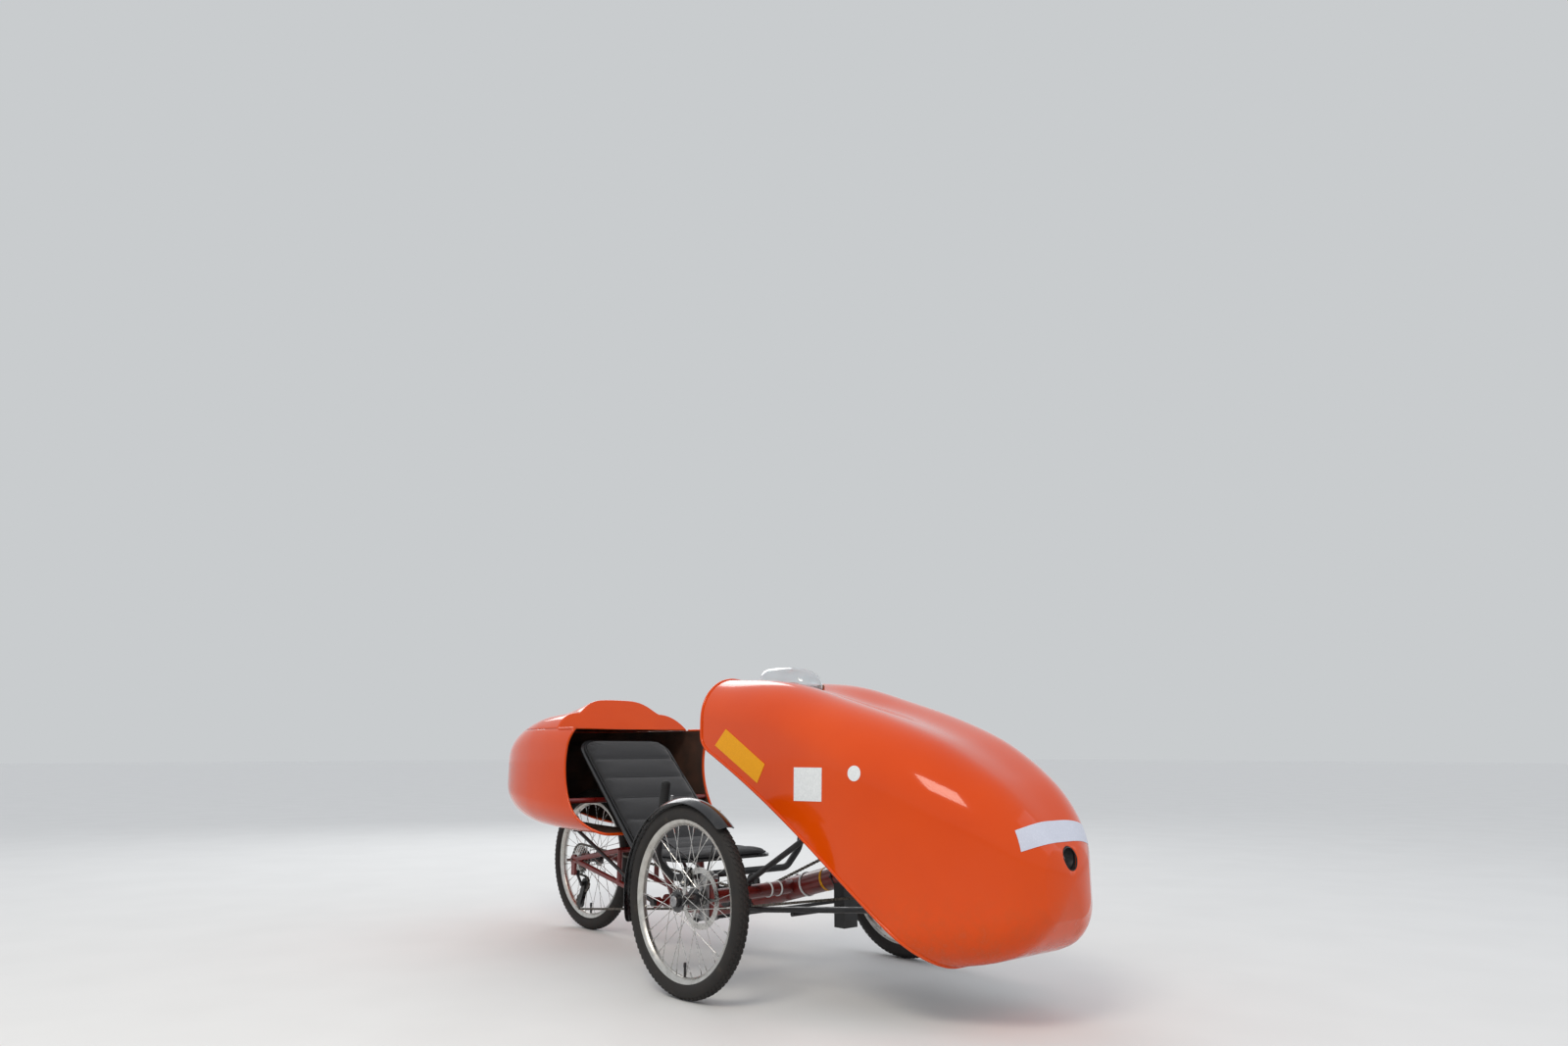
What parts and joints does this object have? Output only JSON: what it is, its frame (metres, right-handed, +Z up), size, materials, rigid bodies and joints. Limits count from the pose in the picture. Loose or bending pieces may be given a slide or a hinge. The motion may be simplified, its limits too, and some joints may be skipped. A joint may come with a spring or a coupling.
{
  "type": "partly faired tadpole velomobile",
  "caption": "Open-cockpit velomobile with orange nose and tail fairings, steered front wheels, a driven rear wheel, reclined seat, cranks and under-seat handlebar.",
  "frame": {"origin": "on the ground, below the middle of the overall length and width", "axes": "+X forward, +Y to the rider's left, +Z up"},
  "size_m": [2.518, 0.95, 0.888],
  "materials": {
    "shell_orange": "glossy gelcoat",
    "clear_screen": "clear moulded sheet",
    "lamp_black": "glossy",
    "lamp_red": "glossy lens",
    "frame_red": "glossy powder coat",
    "tyre": "matt rubber",
    "rim_alloy": "anodised silver",
    "spoke_steel": "bright drawn wire",
    "disc_steel": "ground",
    "knuckle_alloy": "machined",
    "caliper_black": "satin",
    "guard_black": "glossy",
    "rod_black": "satin",
    "grip_rubber": "matt",
    "pedal_black": "matt",
    "seat_shell": "satin fibre laminate",
    "seat_fabric": "open mesh",
    "chain_steel": "oiled"
  },
  "bodies": {
    "frame": {"chain": "chain_steel", "chain_idlers": "chain_steel", "cross_member": "frame_red", "derailleur": "caliper_black", "handlebar_post": "knuckle_alloy", "head_lamp": "lamp_black", "main_boom": "frame_red", "nose_fairing": "shell_orange", "nose_supports": "rod_black", "rear_axle": "disc_steel", "rear_frame": "frame_red", "rear_swingarm": "frame_red", "seat_pad": "seat_fabric", "seat_shell": "seat_shell", "shock_absorber": "caliper_black", "tail_lamp": "lamp_red", "tail_lid": "shell_orange", "tail_struts": "rod_black", "tail_tub": "shell_orange", "windscreen": "clear_screen"},
    "knuckle_right": {"knuckle_right": "knuckle_alloy", "brake_caliper_right": "caliper_black", "mudguard_right": "guard_black"},
    "knuckle_left": {"knuckle_left": "knuckle_alloy", "brake_caliper_left": "caliper_black", "mudguard_left": "guard_black"},
    "wheel_front_right": {"tyre_front_right": "tyre", "rim_front_right": "rim_alloy", "hub_front_right": "spoke_steel", "brake_disc_front_right": "disc_steel"},
    "wheel_front_left": {"tyre_front_left": "tyre", "rim_front_left": "rim_alloy", "hub_front_left": "spoke_steel", "brake_disc_front_left": "disc_steel"},
    "wheel_rear": {"tyre_rear": "tyre", "rim_rear": "rim_alloy", "hub_rear": "spoke_steel", "sprockets": "disc_steel"},
    "handlebar": {"handlebar": "rod_black", "grips": "grip_rubber", "brake_levers": "caliper_black"},
    "tie_rod": {"tie_rod": "rod_black"},
    "drag_link": {"drag_link": "rod_black"},
    "crankset": {"crankset": "knuckle_alloy"},
    "pedal_right": {"pedal_right": "pedal_black"},
    "pedal_left": {"pedal_left": "pedal_black"}
  },
  "joints": [
    {"name": "steer_right", "type": "hinge", "parent": "frame", "child": "knuckle_right", "pos_m": [0.341, -0.345, 0.248], "axis": [0, 0, 1], "range_deg": [-25, 25]},
    {"name": "steer_left", "type": "hinge", "parent": "frame", "child": "knuckle_left", "pos_m": [0.341, 0.345, 0.248], "axis": [0, 0, 1], "range_deg": [-25, 25]},
    {"name": "handlebar_turn", "type": "hinge", "parent": "frame", "child": "handlebar", "pos_m": [0.011, 0, 0.262], "axis": [0, 0, 1], "range_deg": [-25, 25]},
    {"name": "tie_rod_pivot", "type": "hinge", "parent": "knuckle_right", "child": "tie_rod", "pos_m": [0.271, -0.345, 0.182], "axis": [0, 0, 1], "range_deg": [-25, 25]},
    {"name": "drag_link_pivot", "type": "hinge", "parent": "knuckle_left", "child": "drag_link", "pos_m": [0.271, 0.345, 0.209], "axis": [0, 0, 1], "range_deg": [-25, 25]},
    {"name": "wheel_spin_right", "type": "hinge", "parent": "knuckle_right", "child": "wheel_front_right", "pos_m": [0.341, -0.431, 0.248], "axis": [0, 1, 0], "continuous": true},
    {"name": "wheel_spin_left", "type": "hinge", "parent": "knuckle_left", "child": "wheel_front_left", "pos_m": [0.341, 0.431, 0.248], "axis": [0, 1, 0], "continuous": true},
    {"name": "wheel_spin_rear", "type": "hinge", "parent": "frame", "child": "wheel_rear", "pos_m": [-0.799, 0, 0.248], "axis": [0, 1, 0], "continuous": true},
    {"name": "crank_spin", "type": "hinge", "parent": "frame", "child": "crankset", "pos_m": [0.791, 0, 0.369], "axis": [0, 1, 0], "continuous": true},
    {"name": "pedal_spin_right", "type": "hinge", "parent": "crankset", "child": "pedal_right", "pos_m": [0.961, -0.12, 0.369], "axis": [0, 1, 0], "continuous": true},
    {"name": "pedal_spin_left", "type": "hinge", "parent": "crankset", "child": "pedal_left", "pos_m": [0.621, 0.12, 0.369], "axis": [0, 1, 0], "continuous": true}
  ],
  "couplings": [
    {"joint": "steer_left", "follows": "steer_right", "ratio": 1},
    {"joint": "handlebar_turn", "follows": "steer_right", "ratio": 1},
    {"joint": "tie_rod_pivot", "follows": "steer_right", "ratio": -1},
    {"joint": "drag_link_pivot", "follows": "steer_right", "ratio": -1}
  ]
}
